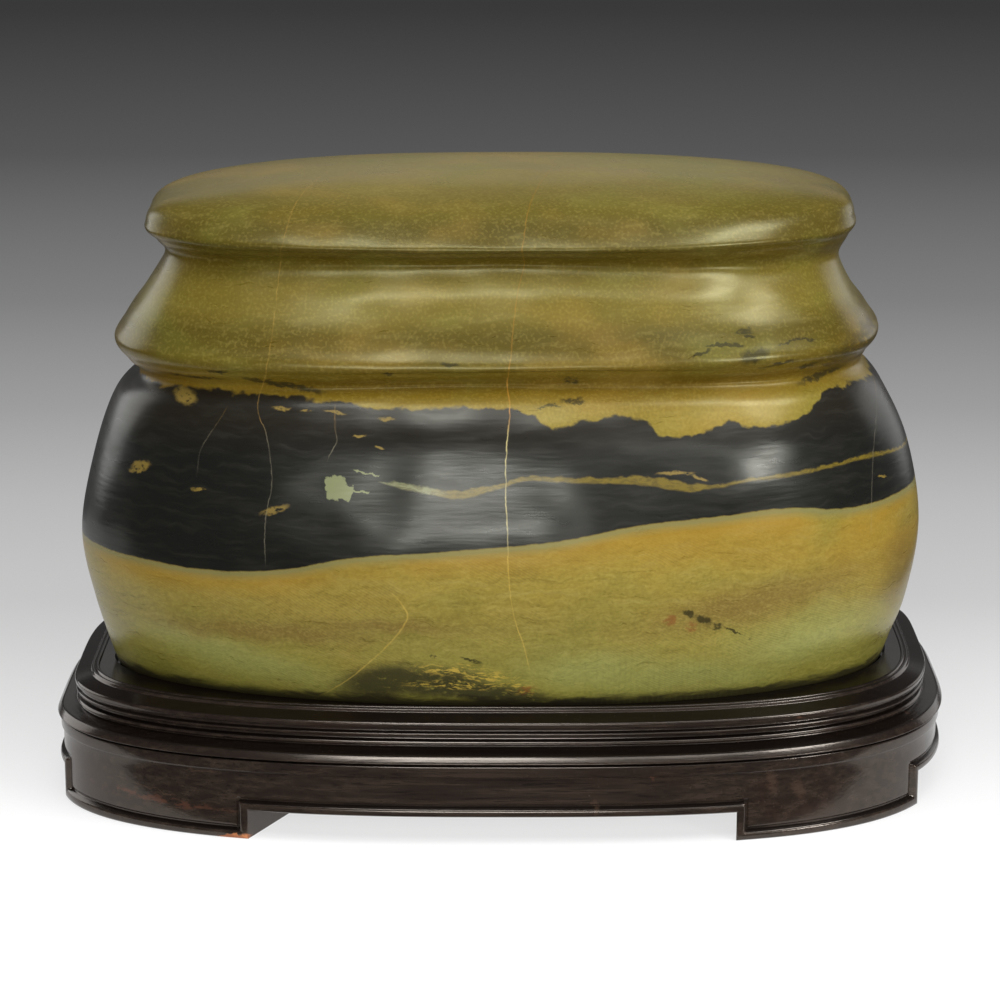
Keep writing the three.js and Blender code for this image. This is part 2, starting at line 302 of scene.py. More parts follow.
def measured_feet():
    """Arc lengths of each foot's two ends, turns of its inner corners and the gaps beside it."""
    feet = []
    for foot in FEET:
        start, end = [degrees / 360.0 for degrees in foot["ends"]]
        start_lean, end_lean = [degrees / 360.0 for degrees in foot["leans"]]
        feet.append({
            "start": float(outline.length(start)), "end": float(outline.length(end)),
            "inner_start": start + start_lean, "inner_end": end + end_lean,
            "gaps": foot["gaps"],
        })
    return feet


def within(lengths, foot):
    """Which columns lie in a foot."""
    return (lengths >= foot["start"] - TINY) & (lengths <= foot["end"] + TINY)


def stand_columns(feet):
    """Arc lengths of the columns: evenly spaced, with close ones at the borders of the feet."""
    exact = []
    for foot in feet:
        exact += [foot["start"] + depth for depth in BORDER_DEPTHS]
        exact += [foot["end"] - depth for depth in BORDER_DEPTHS]
    exact = np.array(exact)
    even = np.arange(STAND_COLUMNS) / STAND_COLUMNS * outline.total
    clear = CLEAR_SHARE * outline.total / STAND_COLUMNS
    keep = [length for length in even if np.min(np.abs(exact - length)) > clear]
    return np.sort(np.concatenate([exact, keep]))


def border_distance(lengths, heights, feet):
    """Distance of wall points from the lower edge of apron and feet, measured along the wall."""
    above = np.maximum(heights - LONG_GAP, 0.0)[:, None]
    result = np.broadcast_to((heights - LONG_GAP)[:, None], (len(heights), len(lengths))).copy()
    for foot in feet:
        to_start = np.maximum(lengths - foot["start"], above)
        to_end = np.maximum(foot["end"] - lengths, above)
        in_foot = np.minimum(np.minimum(to_start, to_end), heights[:, None])
        result = np.where(within(lengths, foot)[None, :], in_foot, result)
    return np.maximum(result, 0.0)


def gap_heights(lengths, feet):
    """Height of the gap at each column; along a foot it passes from one gap's height to the next."""
    keys, values = [], []
    for foot in feet:
        before, after = foot["gaps"]
        for share in np.linspace(0.0, 1.0, GAP_STEPS):
            change = float(smoothstep(share, 0.0, 1.0))
            keys.append(foot["start"] + (foot["end"] - foot["start"]) * share)
            values.append(before + (after - before) * change)
    return np.interp(lengths, keys, values, period=outline.total)


def lifted(height, gaps):
    """Height of a wall row over these gaps; rows above the border stay level."""
    if height <= LONG_GAP:
        return height * gaps / LONG_GAP
    fade = float(smoothstep(height, WALL_HEIGHTS[0], WALL_HEIGHTS[1]))
    return height + (gaps - LONG_GAP) * fade


def inner_turns(lengths, feet):
    """Turn of each column on the feet's inner side, following the slant of the sawn ends."""
    keys, values = [], []
    for k, foot in enumerate(feet):
        following = feet[(k + 1) % len(feet)]
        next_start = following["start"] + (outline.total if k + 1 == len(feet) else 0.0)
        middle = (foot["start"] + foot["end"]) / 2.0
        gap = (foot["end"] + next_start) / 2.0
        keys += [foot["start"], middle, foot["end"], gap]
        values += [foot["inner_start"], float(outline.turn(middle))]
        values += [foot["inner_end"], float(outline.turn(gap))]
    keys, values = np.array(keys), np.array(values)
    keys = np.concatenate([keys - outline.total, keys, keys + outline.total])
    values = np.concatenate([values - 1.0, values, values + 1.0])
    return np.interp(lengths, keys, values)


def widened(ring, distance):
    """A ring moved outwards from the axis."""
    return ring + ring / np.linalg.norm(ring, axis=1, keepdims=True) * distance


MIDDLE = np.zeros((1, 2))


class Rings:
    """Collects rings of points and gives the numbers of their vertices."""

    def __init__(self):
        self.points = []
        self.count = 0

    def add(self, ring, height):
        self.points.append(np.column_stack([ring, np.broadcast_to(height, (len(ring),))]))
        self.count += len(ring)
        return list(range(self.count - len(ring), self.count))


def stand_top(rings, turns):
    """Seat and mouldings: their faces and the lowest ring."""
    seat_place = np.array([(len(STONE_ROWS) - 2) / (len(STONE_ROWS) - 1)])
    seat = widened(stone_points(seat_place, turns * 2.0 * math.pi)[0, :, :2], SEAT_GAP)
    above = rings.add(seat, SEAT_FLOOR)
    faces = fan(rings.add(MIDDLE, SEAT_FLOOR)[0], above)
    rows = [rings.add(seat, SEAT_RIM - SEAT_EASE), rings.add(widened(seat, SEAT_EASE), SEAT_RIM)]
    rows += [rings.add(outline.offset(turns, off), z) for off, z in eased(MOULDING)]
    for row in rows:
        faces += band(above, row)
        above = row
    return faces, above


def stand_wall(rings, lengths, feet, in_foot, above):
    """Apron and feet with their border: the faces, and the rings from the apron's lower edge down."""
    turns = outline.turn(lengths)
    heights = np.array(WALL_HEIGHTS)
    gaps = gap_heights(lengths, feet)
    offsets = np.interp(border_distance(lengths, heights, feet), BORDER_DEPTHS, BORDER_OFFSETS)
    faces, lower_rows = [], []
    for height, row_offsets in zip(heights, offsets):
        row = rings.add(outline.offset(turns, row_offsets), lifted(height, gaps))
        quads = band(above, row)
        if height < LONG_GAP:
            quads = [quad for i, quad in enumerate(quads) if in_foot[i] and in_foot[(i + 1) % len(row)]]
        faces += quads
        if height <= LONG_GAP:
            lower_rows.append(row)
        above = row
    return faces, lower_rows


def stand_underside(rings, lengths, feet, in_foot, lower_rows):
    """Soles, inner sides and sawn ends of the feet, and the underside between them."""
    count = len(lengths)
    apron_row, foot_row = lower_rows[0], lower_rows[-1]
    inner = outline.offset(inner_turns(lengths, feet), -FOOT_DEPTH)
    inner_top = rings.add(inner, gap_heights(lengths, feet))
    inner_low = rings.add(inner, 0.0)
    middle = rings.add(MIDDLE, LONG_GAP)[0]
    faces = []
    for i in range(count):
        n = (i + 1) % count
        if in_foot[i] and in_foot[n]:
            faces.append((foot_row[i], inner_low[i], inner_low[n], foot_row[n]))
            faces.append((inner_low[i], inner_top[i], inner_top[n], inner_low[n]))
        else:
            faces.append((apron_row[i], inner_top[i], inner_top[n], apron_row[n]))
        faces.append((middle, inner_top[n], inner_top[i]))
    for foot in feet:
        for key, flip in (("start", False), ("end", True)):
            i = int(np.argmin(np.abs(lengths - foot[key])))
            loop = [row[i] for row in lower_rows] + [inner_low[i], inner_top[i]]
            faces.append(tuple(reversed(loop)) if flip else tuple(loop))
    return faces


def make_stand():
    feet = measured_feet()
    lengths = stand_columns(feet)
    in_foot = np.any([within(lengths, foot) for foot in feet], axis=0)
    rings = Rings()
    faces, lip_row = stand_top(rings, outline.turn(lengths))
    wall_faces, lower_rows = stand_wall(rings, lengths, feet, in_foot, lip_row)
    faces += wall_faces
    faces += stand_underside(rings, lengths, feet, in_foot, lower_rows)
    return mesh_piece("carved_stand", np.concatenate(rings.points), faces, STAND_SHARP)


# Marks of the front fade out between these y; shift that makes a second noise differ from the first.
FRONT_Y = (0.0, -12.0)
ELSEWHERE = (131.0, 57.0, -83.0)


class Shader:
    """Builds one procedural material node by node; positions are in millimetres of the part frame."""

    def __init__(self, name, tints):
        self.tints = {tint: srgb(*rgb) for tint, rgb in tints.items()}
        self.material = bpy.data.materials.new(name)
        self.material.use_nodes = True
        self.tree = self.material.node_tree
        self.tree.nodes.clear()
        self.output = self.node("OutputMaterial")
        self.surface = self.node("BsdfPrincipled")
        self.tree.links.new(self.surface.outputs["BSDF"], self.output.inputs["Surface"])
        coordinates = self.node("TexCoord")
        self.place = self.vector("SCALE", coordinates.outputs["Object"], scale=1.0 / MM)
        self.x, self.y, self.z = self.split(self.place)
        self.front = self.rise(self.y, *FRONT_Y)
        self.turns = {}
        self.colour = None

    def feed(self, socket, value):
        """Links a socket, or sets it to a constant or to a colour by its name."""
        if isinstance(value, bpy.types.NodeSocket):
            self.tree.links.new(value, socket)
        else:
            socket.default_value = self.tints[value] if isinstance(value, str) else value

    def node(self, kind, inputs=None):
        """A new shader node of a kind, with its inputs fed."""
        node = self.tree.nodes.new("ShaderNode" + kind)
        for key, value in (inputs or {}).items():
            self.feed(node.inputs[key], value)
        return node

    def set(self, name, value):
        self.feed(self.surface.inputs[name], value)

    def math(self, operation, a, b=0.0, c=0.0, clamp=False):
        node = self.node("Math")
        node.operation, node.use_clamp = operation, clamp
        for socket, value in zip(node.inputs, (a, b, c)):
            self.feed(socket, value)
        return node.outputs[0]

    def add(self, a, b):
        return self.math("ADD", a, b)

    def sub(self, a, b):
        return self.math("SUBTRACT", a, b)

    def mul(self, a, b):
        return self.math("MULTIPLY", a, b)

    def times_plus(self, value, factor, more):
        return self.math("MULTIPLY_ADD", value, factor, more)

    def most(self, a, b):
        return self.math("MAXIMUM", a, b)

    def vector(self, operation, a, b=(0.0, 0.0, 0.0), c=(0.0, 0.0, 0.0), scale=1.0):
        node = self.node("VectorMath")
        node.operation = operation
        for socket, value in zip(node.inputs, (a, b, c, scale)):
            self.feed(socket, value)
        return node.outputs["Value" if operation in ("LENGTH", "DOT_PRODUCT") else "Vector"]

    def split(self, vector):
        return self.node("SeparateXYZ", {0: vector}).outputs

    def geometry(self):
        """The surface's normal, pointiness and so on, by name."""
        return self.node("NewGeometry").outputs

    def stretched(self, sizes, place=None):
        """The place divided by a size along each axis."""
        return self.vector("MULTIPLY", place or self.place, tuple(1.0 / size for size in sizes))

    def noise(self, vector, scale=1.0, detail=3.0, rough=0.5):
        inputs = {"Vector": vector, "Scale": scale, "Detail": detail, "Roughness": rough}
        return self.node("TexNoise", inputs).outputs["Fac"]

    def swing(self, vector, amount, **settings):
        """Noise centred on nought, reaching about the amount either way."""
        return self.mul(self.sub(self.noise(vector, **settings), 0.5), 2.0 * amount)

    def rise(self, value, low, high):
        """0 below the low value, 1 above the high one; low may lie above high."""
        ends = (0.0, 1.0) if low < high else (1.0, 0.0)
        node = self.node("MapRange", {
            "Value": value, "From Min": min(low, high), "From Max": max(low, high),
            "To Min": ends[0], "To Max": ends[1],
        })
        node.interpolation_type = "SMOOTHSTEP"
        return node.outputs["Result"]

    def mix(self, share, a, b):
        """Colour a where the share is 0 and b where it is 1."""
        node = self.node("Mix")
        node.data_type = "RGBA"
        for key, value in ((0, share), (6, a), (7, b)):
            self.feed(node.inputs[key], value)
        return node.outputs[2]

    def tint(self, colour, share, amount, other):
        """The colour with so much of another where the share is 1."""
        return self.mix(self.mul(share, amount), colour, other)

    def paint(self, share, amount, other):
        """Tints the material's colour."""
        self.colour = self.tint(self.colour, share, amount, other)

    def ramp(self, value, low, high, stops):
        """Colour at a value, from stops between low and high."""
        node = self.node("ValToRGB")
        share = self.math("DIVIDE", self.sub(value, low), high - low, clamp=True)
        self.feed(node.inputs["Fac"], share)
        elements = node.color_ramp.elements
        while len(elements) < len(stops):
            elements.new(0.5)
        for element, (at, *rgb) in zip(elements, stops):
            element.position = (at - low) / (high - low)
            element.color = srgb(*rgb)
        return node.outputs["Color"]

    def curve(self, value, low, high, points, out_low, out_high):
        """Smooth curve through points: a value from low to high gives a result within the out limits."""
        node = self.node("FloatCurve")
        share = self.math("DIVIDE", self.sub(value, low), high - low, clamp=True)
        self.feed(node.inputs["Value"], share)
        line = node.mapping.curves[0]
        while len(line.points) < len(points):
            line.points.new(0.5, 0.5)
        for point, (at, result) in zip(line.points, points):
            point.location = ((at - low) / (high - low), (result - out_low) / (out_high - out_low))
        node.mapping.update()
        return self.times_plus(node.outputs["Value"], out_high - out_low, out_low)

    def joined(self, x, y, z):
        return self.node("CombineXYZ", {0: x, 1: y, 2: z}).outputs[0]

    def shaken(self, scale, amount, detail=3.0, rough=0.6):
        """The place pushed about by noise along x and z."""
        side = self.swing(self.place, amount, scale=scale, detail=detail, rough=rough)
        elsewhere = self.vector("ADD", self.place, ELSEWHERE)
        rise = self.swing(elsewhere, amount, scale=scale, detail=detail, rough=rough)
        return self.vector("ADD", self.place, self.joined(side, 0.0, rise))

    def turned(self, place, lean):
        """The place's x and z turned by an angle, kept for all marks of that lean."""
        key = (place.node.name, lean)
        if key not in self.turns:
            cos, sin = math.cos(math.radians(lean)), math.sin(math.radians(lean))
            along = self.vector("DOT_PRODUCT", place, (cos, 0.0, sin))
            across = self.vector("DOT_PRODUCT", place, (-sin, 0.0, cos))
            self.turns[key] = self.joined(along, across, 0.0)
        return self.turns[key]

    def spots(self, place, marks, soft=0.35, square=False):
        """1 inside leaning oval or squarish spots on the front."""
        nearest = None
        for x, z, half_x, half_z, lean in marks:
            cos, sin = math.cos(math.radians(lean)), math.sin(math.radians(lean))
            shift = ((-x * cos - z * sin) / half_x, (x * sin - z * cos) / half_z, 0.0)
            sizes = (1.0 / half_x, 1.0 / half_z, 0.0)
            off = self.vector("MULTIPLY_ADD", self.turned(place, lean), sizes, shift)
            if square:
                off = self.vector("MULTIPLY", off, off)
            away = self.vector("LENGTH", off)
            nearest = away if nearest is None else self.math("MINIMUM", nearest, away)
        return self.mul(self.rise(nearest, 1.0 + soft, 1.0 - soft), self.front)

    def relief(self, height, distance, strength):
        inputs = {"Height": height, "Distance": distance, "Strength": strength}
        return self.node("Bump", inputs).outputs["Normal"]


def srgb(red, green, blue):
    """Linear colour from 0-255 display values."""
    def linear(v):
        v /= 255.0
        return v / 12.92 if v <= 0.04045 else ((v + 0.055) / 1.055) ** 2.4
    return (linear(red), linear(green), linear(blue), 1.0)


# Span of the curves of the stone's markings, along it and up it.
STONE_X = (-220.0, 220.0)
STONE_Z = (60.0, 320.0)
# Upper and lower edge of the black band: x, height.
BLACK_TOP = [
    (-220, 221), (-184, 222), (-155, 223), (-122, 223), (-85, 221), (-65, 219), (-26, 219), (-2, 218),
    (13, 216), (25, 211), (42, 213), (55, 215), (69, 212), (79, 205), (106, 208), (140, 207), (151, 210),
    (160, 218), (187, 216), (220, 214),
]
BLACK_FOOT = [
    (-220, 139), (-183, 138), (-148, 136), (-109, 139), (-74, 147), (-28, 151), (26, 156), (64, 162),
    (108, 165), (140, 166), (174, 161), (220, 163),
]
# Gold line in the black band: x with its height, and x with its half width.
GOLD_LINE = [
    (-220, 184), (-57, 184), (-37, 181), (-22, 179), (-2, 183), (10, 186.5), (29, 186), (49, 185),
    (68, 184), (92, 180), (105, 180), (121, 182), (145, 182.5), (177, 184), (207, 181), (220, 180),
]
GOLD_HALF = [
    (-220, 0), (-61, 0), (-52, 1.3), (-35, 1.7), (-20, 2.0), (-4, 1.3), (10, 1.1), (30, 1.2), (52, 1.5),
    (72, 2.2), (86, 2.2), (95, 1.6), (103, 0.7), (120, 0.6), (140, 0.9), (160, 0.8), (186, 0.8),
    (205, 0.4), (220, 0.3),
]
GOLD_HALF_SPAN = (0.0, 10.0)
# Where the gold line starts, turns from pale to gold, and ends towards the back.
GOLD_START_X = (-62.0, -58.0)
GOLD_TURN_X = (-40.0, -26.0)
GOLD_END_Y = (60.0, 20.0)
AMBER_X = (-90.0, -130.0)
# How far the warm tone reaches down from the black band: x, millimetres.
WARM_REACH = [(-220, 14), (-100, 12), (0, 14), (110, 28), (220, 44)]
WARM_SPAN = (0.0, 60.0)
# Veins: height and x from the base up, half width, heights of start and end, lean with depth, from which y.
VEIN_MIDDLE = ([
    (60, 16), (102, 10), (118, 5), (133, 3), (162, 2), (187, 1), (205, 2), (220, 3), (228, 2), (247, 4),
    (266, 6), (288, 9), (320, 9),
], 0.22, 84.0, 400.0, 0.19, -79.0)
VEIN_LEFT = ([
    (60, -118), (140, -117), (166, -116), (182, -113), (196, -114), (207, -116), (216, -120), (233, -116),
    (251, -113), (269, -111), (285, -111), (298, -107), (320, -107),
], 0.2, 138.0, 400.0, 0.23, -76.0)
VEIN_FAR_LEFT = ([
    (180, -151), (188, -150), (195, -149), (202, -145), (211, -139), (220, -133),
], 0.2, 182.0, 218.0)
VEIN_SHORT = ([
    (190, -88), (196, -85), (200, -82.5), (204, -81), (209, -82), (217, -82), (225, -82),
], 0.22, 190.0, 222.0)
VEIN_RIGHT = ([
    (140, 185), (161, 185), (175, 185.5), (188, 186.5), (200, 188.5), (211, 190), (220, 190),
], 0.2, 142.0, 218.0)
VEIN_LOW = ([
    (62, -99), (68, -92), (78, -79), (90, -67), (106, -53), (112, -49), (118, -47), (124, -50), (130, -55),
], 0.42, 58.0, 132.0)
# Veins end where the stone turns to its back, and fade in and out over these heights.
VEIN_END_Y = (30.0, -10.0)
VEIN_START_FADE = 8.0
VEIN_END_FADE = 6.0
# Spots on the front: x and z of the middle, half width, half height, lean in degrees.
GOLD_FLECKS = [
    (-150, 177, 3.4, 0.9, 0), (-112, 169.5, 7, 1.7, 20), (-179.5, 184.5, 5, 2.2, 20),
    (-182, 182, 4, 1, 10), (-157, 219.5, 5.5, 3.4, -10), (-108, 217.5, 4.4, 0.9, 0),
    (-96, 217, 2.6, 0.7, 0), (-57, 214, 3.6, 0.9, 0), (-82, 216.6, 5, 0.7, -10),
    (-60, 201, 2, 0.6, -20), (-70, 206, 2.6, 0.6, 10), (191, 172, 2.4, 0.6, -20),
    (84, 187, 8.5, 0.9, 0), (96, 184.5, 4, 0.9, -20),
]
PALE_FLECKS = [
    (-81.5, 181.3, 5.2, 5.6, 0), (-77, 179.5, 3.6, 3.8, -20), (-70, 179.6, 4.4, 0.6, 0),
    (-66, 188.5, 6.5, 0.35, -10),
]
DARK_MARKS = [
    (-140, 234, 5.5, 0.9, 0), (-152, 229.5, 15, 0.8, 0), (-110, 228, 17, 1.5, -10),
    (-98, 226.5, 10, 1.2, -10), (-56, 235, 2.6, 1, 0), (-26, 240, 4, 1.2, 0), (118, 252, 4, 1.3, 0),
    (121, 249.5, 3, 0.8, -10), (97, 243.5, 5, 0.9, 20), (106, 246.5, 7, 0.8, 0),
    (114, 245.8, 4, 0.8, -10), (123.5, 240.5, 7.2, 3.4, 10), (140, 245, 5.5, 0.7, 10),
    (149, 245.5, 6, 0.7, -10), (152, 232, 6, 1.3, 10), (135, 235, 9, 0.7, 10), (160, 225, 13, 2, 10),
    (33, 230, 3.2, 2, 0), (34, 221.5, 5.5, 1.3, 0), (22, 219.5, 6, 0.8, 0), (92, 115.5, 3.6, 1.7, -20),
    (99, 111.5, 4.4, 2, -30), (105, 108, 3.4, 2, -10), (114, 104.5, 5, 0.7, -30),
    (123, 99, 1.6, 0.9, 30), (-35, 95, 2, 0.9, 0), (-16, 93, 5, 1, -20),
]
RUST_MARKS = [
    (82.5, 112.5, 3.6, 2.6, 10), (93, 108.5, 3, 3, 0), (12, 75, 4.6, 2.4, 10),
]
YELLOW_STAIN = [
    (-26, 87.5, 16, 3.2, 0), (-8, 83, 14, 4, -10), (6, 77, 9, 3, -20), (-22, 78, 22, 2.4, 0),
]
BASE_STAIN = [
    (-58, 79, 24, 10, 10), (-34, 79, 26, 9, 0), (-4, 72, 32, 6.5, -10), (38, 67, 22, 3, 0),
]
GREEN_WASH = [
    (45, 86, 30, 10, 0), (-128, 86, 44, 9, -10), (150, 96, 34, 14, 10), (90, 80, 44, 9, 0),
]
BROWN_WASH = [
    (-118, 105, 46, 5, 0), (124, 120, 46, 9, 10), (-60, 111, 30, 3.5, 0), (204, 120, 9, 22, 0),
]
SMUDGE = [
    (178, 236, 16, 7, 10), (168, 232, 14, 5, 20), (186, 241, 9, 6, 20),
]
# Heights or x over which a marking sets in, from absent to full.
LOW_BAND_Z = (170.0, 150.0)
WARM_BLACK_Z = (192.0, 212.0)
GROOVE_VEIN_Z = (205.0, 216.0)
FAINT_VEIN_Z = (204.0, 214.0)
CAP_VEIN_Z = (232.0, 250.0)
LOW_VEIN_Z = (156.0, 146.0)
SEAT_DARK_Z = (66.0, 61.0)
RIPPLE_Z = (106.0, 88.0)
RIPPLE_LEFT_X = (30.0, 60.0)
RIPPLE_RIGHT_X = (134.0, 108.0)
# Ground colours of the stone: height, then red, green and blue as shown, 0 to 255. Above the black band
# they are partly painted shade, darker than the stone's own colour for the light from above, most of all on
# the cap front and the ledge's lower flank.
STONE_COLOURS_AND_SHADE = [
    (60, 100, 96, 38), (74, 114, 110, 46), (92, 119, 111, 48), (110, 113, 101, 43), (128, 126, 109, 44),
    (160, 126, 107, 39), (206, 107, 91, 30), (214, 107, 92, 33), (221, 98, 79, 18), (228, 74, 56, 6),
    (234, 82, 67, 14), (243, 67, 56, 14), (252, 67, 57, 16), (262, 87, 76, 26), (276, 88, 76, 24),
    (286, 67, 54, 8), (294, 64, 54, 14), (303, 65, 56, 17), (309, 76, 67, 24), (320, 104, 92, 46),
]
STONE_TINTS = {
    "ochre cloud": (132, 104, 44), "olive cloud": (90, 90, 36), "pale streak": (130, 118, 62),
    "dark streak": (78, 66, 24), "green wash": (122, 126, 70), "brown wash": (98, 78, 36),
    "pale fibre": (150, 138, 78), "dark fibre": (84, 70, 30), "hatching": (84, 72, 34),
    "pale grain": (140, 126, 64), "dark grain": (68, 58, 22), "warm edge": (126, 94, 24),
    "grey rim": (98, 97, 62), "base stain": (40, 38, 24), "yellow stain": (160, 136, 56),
    "rust": (104, 60, 28), "amber": (104, 80, 22), "black": (17, 17, 15), "warm black": (23, 20, 15),
    "grey streak": (40, 38, 32), "pale gold": (112, 114, 82), "gold": (100, 85, 26),
    "dark gold": (66, 56, 22), "pale fleck": (105, 109, 75), "gold fleck": (118, 98, 40),
    "dark mark": (33, 29, 15), "pale vein": (170, 158, 108), "groove vein": (158, 112, 44),
    "cap vein": (128, 90, 28), "low vein": (176, 148, 68), "faint grey vein": (122, 116, 96),
    "faint vein": (150, 118, 56), "seat_dark": (26, 22, 16), "ripple": (84, 84, 44),
}
STONE_SHEEN = (1.0, 0.98, 0.6, 1.0)
BLACK_SHEEN = (1.0, 1.0, 0.9, 1.0)
# Pointiness from open surface to the hollow of a groove, where the polish is duller.
GROOVE_POINTINESS = (0.496, 0.482)
STONE_RELIEF = 0.14 * MM


class StoneNoise:
    """Noises that the stone's markings share."""

    def __init__(self, s):
        self.flow = s.shaken(0.06, 5.0, detail=2.0)
        self.ragged = s.shaken(0.3, 2.2, detail=2.0)
        self.slow = s.swing(s.stretched((70, 70, 40)), 5.0, detail=2.0)
        self.fine = s.swing(s.place, 1.6, scale=0.16, detail=2.0, rough=0.65)
        self.cloud = s.noise(s.stretched((60, 60, 34)), 1.0, 2.0, 0.55)
        self.brushed = s.noise(s.stretched((26, 26, 3.2), self.flow), 1.0, 3.0, 0.62)
        self.fibres = s.noise(s.stretched((5, 5, 1.3), self.flow), 1.0, 3.0, 0.7)
        self.grain = s.noise(s.place, 0.7, 0.0, 0.5)
        self.speck = s.noise(s.stretched((4, 4, 2.6)), 1.0, 2.0, 0.7)
        self.lower = s.rise(s.z, *LOW_BAND_Z)


def stone_ground(s, n):
    """Colours by height, partly painted shade, with clouds, streaks, washes, fibres, hatching and grain."""
    # Painted shade: the ground colours darken the upper stone for the light from above.
    s.colour = s.ramp(s.add(s.z, n.slow), *STONE_Z, STONE_COLOURS_AND_SHADE)
    s.paint(s.rise(n.cloud, 0.5, 0.72), 0.24, "ochre cloud")
    s.paint(s.rise(n.cloud, 0.5, 0.3), 0.35, "olive cloud")
    streaks = s.times_plus(n.lower, 0.18, 0.1)
    s.paint(s.rise(n.brushed, 0.5, 0.7), streaks, "pale streak")
    s.paint(s.rise(n.brushed, 0.5, 0.3), streaks, "dark streak")
    s.paint(s.spots(n.flow, GREEN_WASH, 0.8), 0.68, "green wash")
    s.paint(s.spots(n.flow, BROWN_WASH, 0.8), 0.72, "brown wash")
    s.paint(s.mul(s.rise(n.fibres, 0.45, 0.75), n.lower), 0.22, "pale fibre")
    s.paint(s.mul(s.rise(n.fibres, 0.6, 0.3), n.lower), 0.24, "dark fibre")
    swirl = s.times_plus(n.slow, 3.6, s.times_plus(s.x, 2.4, s.mul(s.z, 4.2)))
    hatch = s.mul(s.rise(s.math("SINE", swirl), -0.4, 1.0), s.rise(n.cloud, 0.42, 0.58))
    s.paint(s.mul(hatch, n.lower), 0.28, "hatching")
    s.paint(s.rise(n.grain, 0.5, 0.75), 0.13, "pale grain")
    s.paint(s.rise(n.grain, 0.5, 0.25), 0.15, "dark grain")


def low_band(s, n, over_foot):
    """Warm tone and grey rim under the black band, and the stains near the seat."""
    under_foot = s.rise(over_foot, 0.5, -0.5)
    reach = s.curve(s.x, *STONE_X, WARM_REACH, *WARM_SPAN)
    warm = s.math("ADD", s.math("DIVIDE", s.add(over_foot, 3.0), reach), 1.0, clamp=True)
    warm = s.mul(s.mul(warm, under_foot), s.rise(n.cloud, 0.25, 0.55))
    s.paint(warm, 0.65, "warm edge")
    rim = s.times_plus(s.rise(over_foot, -3.2, -1.4), 0.3, s.mul(s.rise(over_foot, -6.5, -2.0), 0.45))
    s.paint(rim, under_foot, "grey rim")
    stain = s.mul(s.spots(n.ragged, BASE_STAIN, 0.45), s.rise(n.speck, 0.15, 0.45))
    s.paint(stain, 0.9, "base stain")
    yellow = s.mul(s.spots(n.ragged, YELLOW_STAIN, 0.7), s.rise(n.fibres, 0.5, 0.6))
    s.paint(yellow, 0.85, "yellow stain")
    rust = s.mul(s.spots(n.ragged, RUST_MARKS), s.rise(n.speck, 0.35, 0.6))
    s.paint(rust, 0.7, "rust")


def gold_line(s, n, dark):
    """The gold line on the black band's colour."""
    middle = s.times_plus(n.fine, 0.9, s.curve(s.x, *STONE_X, GOLD_LINE, *STONE_Z))
    half = s.times_plus(n.fine, 0.35, s.curve(s.x, *STONE_X, GOLD_HALF, *GOLD_HALF_SPAN))
    off = s.sub(s.math("ABSOLUTE", s.sub(s.z, middle)), half)
    line = s.mul(s.rise(off, 0.7, -0.6), s.mul(s.rise(s.x, *GOLD_START_X), s.rise(s.y, *GOLD_END_Y)))
    gold = s.mix(s.rise(s.times_plus(n.fine, 3.0, s.x), *GOLD_TURN_X), "pale gold", "gold")
    gold = s.tint(gold, s.rise(n.fibres, 0.42, 0.6), 0.6, "dark gold")
    return s.tint(dark, line, 0.85, gold)


def black_band(s, n, over_foot):
    """The black band with its line and flecks; returns where it and the gold flecks lie."""
    jag = s.times_plus(n.fine, 1.4, s.swing(s.stretched((15, 15, 40)), 4.5, detail=2.0))
    top = s.add(s.curve(s.x, *STONE_X, BLACK_TOP, *STONE_Z), jag)
    under_top = s.sub(top, s.z)
    amber = s.mul(s.rise(under_top, -16.0, -2.0), s.rise(under_top, 8.0, 0.0))
    s.paint(s.mul(amber, s.rise(s.x, *AMBER_X)), 0.5, "amber")
    black = s.mul(s.rise(over_foot, -0.5, 0.6), s.rise(under_top, -0.7, 0.8))
    dark = s.mix(s.rise(s.z, *WARM_BLACK_Z), "black", "warm black")
    dark = s.tint(dark, s.rise(n.brushed, 0.45, 0.75), 0.3, "grey streak")
    dark = gold_line(s, n, dark)
    dark = s.tint(dark, s.spots(n.ragged, PALE_FLECKS, 0.14, True), 0.92, "pale fleck")
    wavy = s.shaken(0.18, 1.9, detail=3.0)
    flecks = s.mul(s.spots(wavy, GOLD_FLECKS), s.rise(n.speck, 0.3, 0.5))
    dark = s.tint(dark, flecks, 0.7, "gold fleck")
    s.colour = s.mix(black, s.colour, dark)
    return black, flecks


def dark_marks(s, n):
    """Small dark marks and the smudge at the right of the ledge."""
    marks = s.mul(s.spots(n.ragged, DARK_MARKS), s.rise(n.speck, 0.28, 0.5))
    smudge = s.mul(s.spots(n.flow, SMUDGE, 0.6), s.rise(n.fibres, 0.3, 0.55))
    s.paint(s.most(marks, s.mul(smudge, 0.8)), 0.85, "dark mark")


def vein(s, n, points, half, start, end, lean=0.0, lean_from=0.0):
    """1 along a vein between two heights; with a lean it moves sideways with depth."""
    heights = [at for at, _ in points]
    middle = s.curve(s.z, heights[0], heights[-1], points, *STONE_X)
    if lean:
        middle = s.add(middle, s.mul(s.math("MAXIMUM", s.sub(s.y, lean_from), 0.0), lean))
    off = s.math("ABSOLUTE", s.sub(s.times_plus(n.fine, 0.5, s.x), middle))
    line = s.mul(s.rise(off, half + 0.3, half - 0.2), s.rise(s.y, *VEIN_END_Y))
    begun = s.rise(s.z, start, start + VEIN_START_FADE)
    return s.mul(line, s.mul(begun, s.rise(s.z, end, end - VEIN_END_FADE)))


